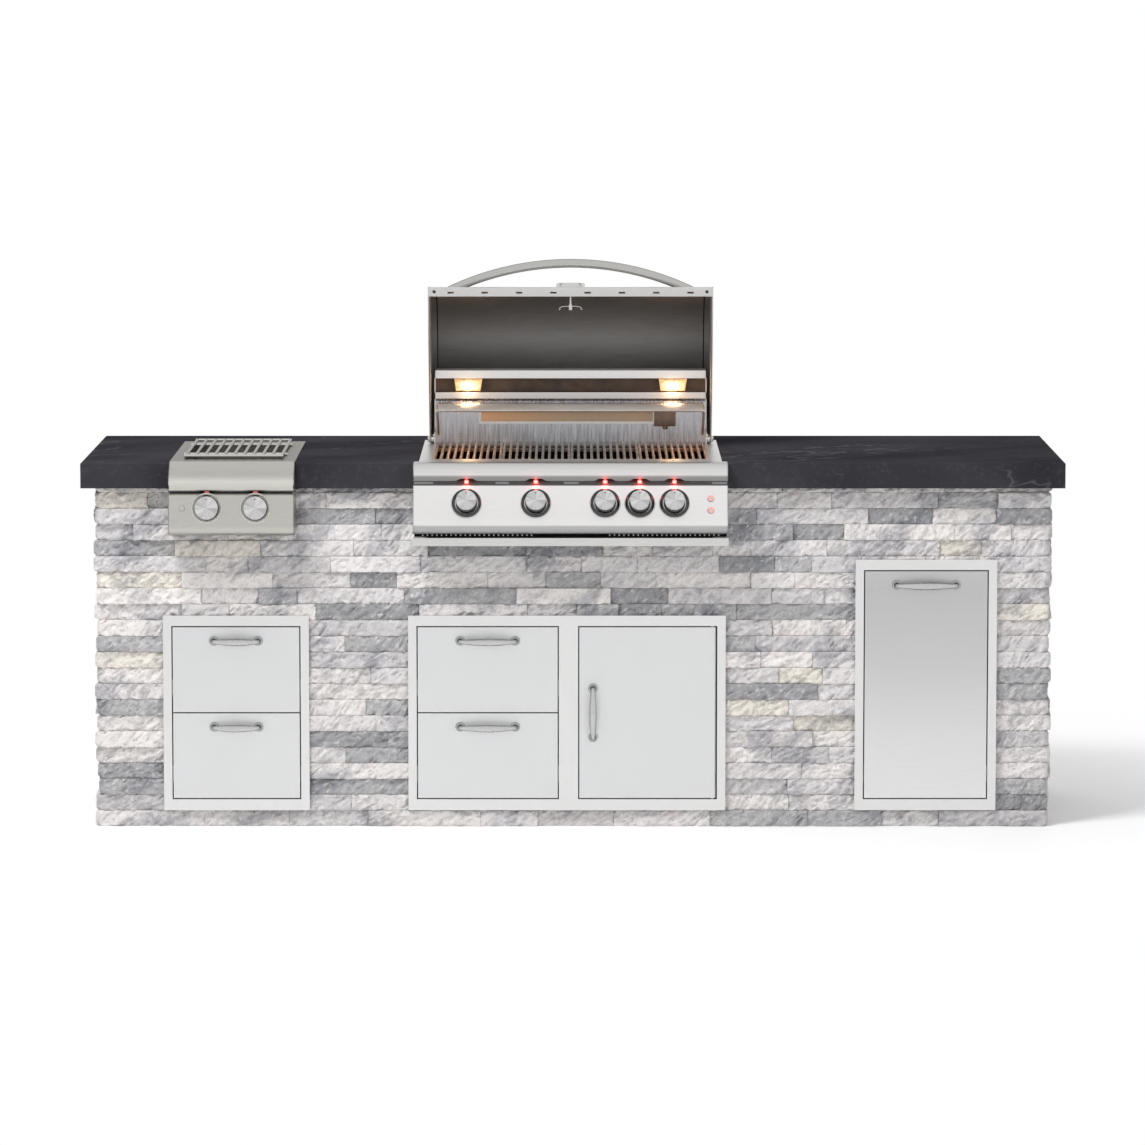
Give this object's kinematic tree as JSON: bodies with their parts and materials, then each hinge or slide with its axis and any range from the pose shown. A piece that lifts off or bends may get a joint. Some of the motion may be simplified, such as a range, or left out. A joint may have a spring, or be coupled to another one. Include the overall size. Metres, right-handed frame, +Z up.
{
  "type": "outdoor kitchen island",
  "caption": "Stone-clad outdoor kitchen island with a dark stone worktop, a roll-top gas grill, a side burner, drawers, a cabinet and a pull-out bin.",
  "frame": {"origin": "on the floor under the middle of the island's length and depth", "axes": "+X along the worktop to the cook's right, +Y away from the cook, +Z up"},
  "size_m": [2.4384, 0.8649, 1.3966],
  "materials": {
    "worktop": "dark leathered granite",
    "ledger_stone": "split face",
    "cement_board": "rough board",
    "frame_steel": "galvanised",
    "housing_steel": "brushed",
    "front_steel": "vertical brushed",
    "handle_steel": "polished",
    "grill_steel": "brushed",
    "grate_steel": "round and square rod",
    "dark_steel": "heat darkened",
    "knob_metal": "turned face",
    "valve_brass": "machined",
    "lamp_glass": "frosted, lit",
    "light_button": "lit red rim",
    "bin_plastic": "moulded"
  },
  "bodies": {
    "root": {"countertop": "worktop", "stone_front": "ledger_stone", "stone_back": "ledger_stone", "stone_left": "ledger_stone", "stone_right": "ledger_stone", "backer_board": "cement_board", "steel_frame": "frame_steel", "left_unit_housing": "housing_steel", "combo_unit_housing": "housing_steel", "trash_unit_housing": "housing_steel", "firebox": "grill_steel", "control_panel": "grill_steel", "burner_manifold": "dark_steel", "cooking_grate_1": "grate_steel", "cooking_grate_2": "grate_steel", "cooking_grate_3": "grate_steel", "cooking_grate_4": "grate_steel", "rear_housing": "grill_steel", "lamp_left": "lamp_glass", "lamp_right": "lamp_glass", "rear_burner": "dark_steel", "warming_rack": "grate_steel", "side_burner_deck": "grill_steel", "side_burner_panel": "grill_steel", "side_burner_head": "valve_brass", "side_burner_grate": "grate_steel"},
    "grill_stem_1": {"grill_stem_1": "valve_brass"},
    "grill_knob_1": {"grill_knob_1": "knob_metal"},
    "grill_stem_2": {"grill_stem_2": "valve_brass"},
    "grill_knob_2": {"grill_knob_2": "knob_metal"},
    "grill_stem_3": {"grill_stem_3": "valve_brass"},
    "grill_knob_3": {"grill_knob_3": "knob_metal"},
    "grill_stem_4": {"grill_stem_4": "valve_brass"},
    "grill_knob_4": {"grill_knob_4": "knob_metal"},
    "grill_stem_5": {"grill_stem_5": "valve_brass"},
    "grill_knob_5": {"grill_knob_5": "knob_metal"},
    "side_stem_1": {"side_stem_1": "valve_brass"},
    "side_knob_1": {"side_knob_1": "knob_metal"},
    "side_stem_2": {"side_stem_2": "valve_brass"},
    "side_knob_2": {"side_knob_2": "knob_metal"},
    "light_button_upper": {"light_button_upper": "light_button"},
    "light_button_lower": {"light_button_lower": "light_button"},
    "side_igniter_button": {"side_igniter_button": "knob_metal"},
    "hood": {"hood": "grill_steel", "hood_handle": "handle_steel", "thermometer": "knob_metal"},
    "drip_tray": {"drip_tray": "grill_steel"},
    "left_drawer_upper": {"left_drawer_upper": "front_steel", "left_drawer_upper_handle": "handle_steel"},
    "left_drawer_lower": {"left_drawer_lower": "front_steel", "left_drawer_lower_handle": "handle_steel"},
    "combo_drawer_upper": {"combo_drawer_upper": "front_steel", "combo_drawer_upper_handle": "handle_steel"},
    "combo_drawer_lower": {"combo_drawer_lower": "front_steel", "combo_drawer_lower_handle": "handle_steel"},
    "trash_drawer": {"trash_drawer": "front_steel", "trash_drawer_handle": "handle_steel", "trash_bin": "bin_plastic"},
    "cabinet_door": {"cabinet_door": "front_steel", "cabinet_door_handle": "handle_steel"}
  },
  "joints": [
    {"name": "grill_knob_1_push", "type": "slide", "parent": "root", "child": "grill_stem_1", "axis": [0, 0.9397, -0.342], "range_m": [0, 0.003], "stiffness_N_per_m": 2000, "springref_m": -0.003},
    {"name": "grill_knob_1_turn", "type": "hinge", "parent": "grill_stem_1", "child": "grill_knob_1", "pos_m": [-0.2625, -0.38791, 0.81941], "axis": [0, -0.9397, 0.342], "range_deg": [0, 180]},
    {"name": "grill_knob_2_push", "type": "slide", "parent": "root", "child": "grill_stem_2", "axis": [0, 0.9397, -0.342], "range_m": [0, 0.003], "stiffness_N_per_m": 2000, "springref_m": -0.003},
    {"name": "grill_knob_2_turn", "type": "hinge", "parent": "grill_stem_2", "child": "grill_knob_2", "pos_m": [-0.0915, -0.38791, 0.81941], "axis": [0, -0.9397, 0.342], "range_deg": [0, 180]},
    {"name": "grill_knob_3_push", "type": "slide", "parent": "root", "child": "grill_stem_3", "axis": [0, 0.9397, -0.342], "range_m": [0, 0.003], "stiffness_N_per_m": 2000, "springref_m": -0.003},
    {"name": "grill_knob_3_turn", "type": "hinge", "parent": "grill_stem_3", "child": "grill_knob_3", "pos_m": [0.0795, -0.38791, 0.81941], "axis": [0, -0.9397, 0.342], "range_deg": [0, 180]},
    {"name": "grill_knob_4_push", "type": "slide", "parent": "root", "child": "grill_stem_4", "axis": [0, 0.9397, -0.342], "range_m": [0, 0.003], "stiffness_N_per_m": 2000, "springref_m": -0.003},
    {"name": "grill_knob_4_turn", "type": "hinge", "parent": "grill_stem_4", "child": "grill_knob_4", "pos_m": [0.165, -0.38791, 0.81941], "axis": [0, -0.9397, 0.342], "range_deg": [0, 180]},
    {"name": "grill_knob_5_push", "type": "slide", "parent": "root", "child": "grill_stem_5", "axis": [0, 0.9397, -0.342], "range_m": [0, 0.003], "stiffness_N_per_m": 2000, "springref_m": -0.003},
    {"name": "grill_knob_5_turn", "type": "hinge", "parent": "grill_stem_5", "child": "grill_knob_5", "pos_m": [0.2505, -0.38791, 0.81941], "axis": [0, -0.9397, 0.342], "range_deg": [0, 180]},
    {"name": "side_knob_1_push", "type": "slide", "parent": "root", "child": "side_stem_1", "axis": [0, 0.9903, -0.1392], "range_m": [0, 0.003], "stiffness_N_per_m": 2000, "springref_m": -0.003},
    {"name": "side_knob_1_turn", "type": "hinge", "parent": "side_stem_1", "child": "side_knob_1", "pos_m": [-0.903, -0.38921, 0.80722], "axis": [0, -0.9903, 0.1392], "range_deg": [0, 180]},
    {"name": "side_knob_2_push", "type": "slide", "parent": "root", "child": "side_stem_2", "axis": [0, 0.9903, -0.1392], "range_m": [0, 0.003], "stiffness_N_per_m": 2000, "springref_m": -0.003},
    {"name": "side_knob_2_turn", "type": "hinge", "parent": "side_stem_2", "child": "side_knob_2", "pos_m": [-0.783, -0.38921, 0.80722], "axis": [0, -0.9903, 0.1392], "range_deg": [0, 180]},
    {"name": "light_button_upper_press", "type": "slide", "parent": "root", "child": "light_button_upper", "axis": [0, 0.9397, -0.342], "range_m": [0, 0.002], "stiffness_N_per_m": 500, "springref_m": -0.002},
    {"name": "light_button_lower_press", "type": "slide", "parent": "root", "child": "light_button_lower", "axis": [0, 0.9397, -0.342], "range_m": [0, 0.002], "stiffness_N_per_m": 500, "springref_m": -0.002},
    {"name": "side_igniter_button_press", "type": "slide", "parent": "root", "child": "side_igniter_button", "axis": [0, 0.9903, -0.1392], "range_m": [0, 0.002], "stiffness_N_per_m": 500, "springref_m": -0.002},
    {"name": "hood_roll", "type": "hinge", "parent": "root", "child": "hood", "pos_m": [-0.006, 0.16068, 0.93], "axis": [1, 0, 0], "range_deg": [0, 72]},
    {"name": "drip_tray_slide", "type": "slide", "parent": "root", "child": "drip_tray", "axis": [0, -1, 0], "range_m": [0, 0.35]},
    {"name": "left_drawer_upper_slide", "type": "slide", "parent": "root", "child": "left_drawer_upper", "axis": [0, -1, 0], "range_m": [0, 0.33]},
    {"name": "left_drawer_lower_slide", "type": "slide", "parent": "root", "child": "left_drawer_lower", "axis": [0, -1, 0], "range_m": [0, 0.33]},
    {"name": "combo_drawer_upper_slide", "type": "slide", "parent": "root", "child": "combo_drawer_upper", "axis": [0, -1, 0], "range_m": [0, 0.33]},
    {"name": "combo_drawer_lower_slide", "type": "slide", "parent": "root", "child": "combo_drawer_lower", "axis": [0, -1, 0], "range_m": [0, 0.33]},
    {"name": "trash_drawer_slide", "type": "slide", "parent": "root", "child": "trash_drawer", "axis": [0, -1, 0], "range_m": [0, 0.33]},
    {"name": "cabinet_door_swing", "type": "hinge", "parent": "root", "child": "cabinet_door", "pos_m": [0.347, -0.29962, 0.2875], "axis": [0, 0, 1], "range_deg": [0, 100]}
  ]
}
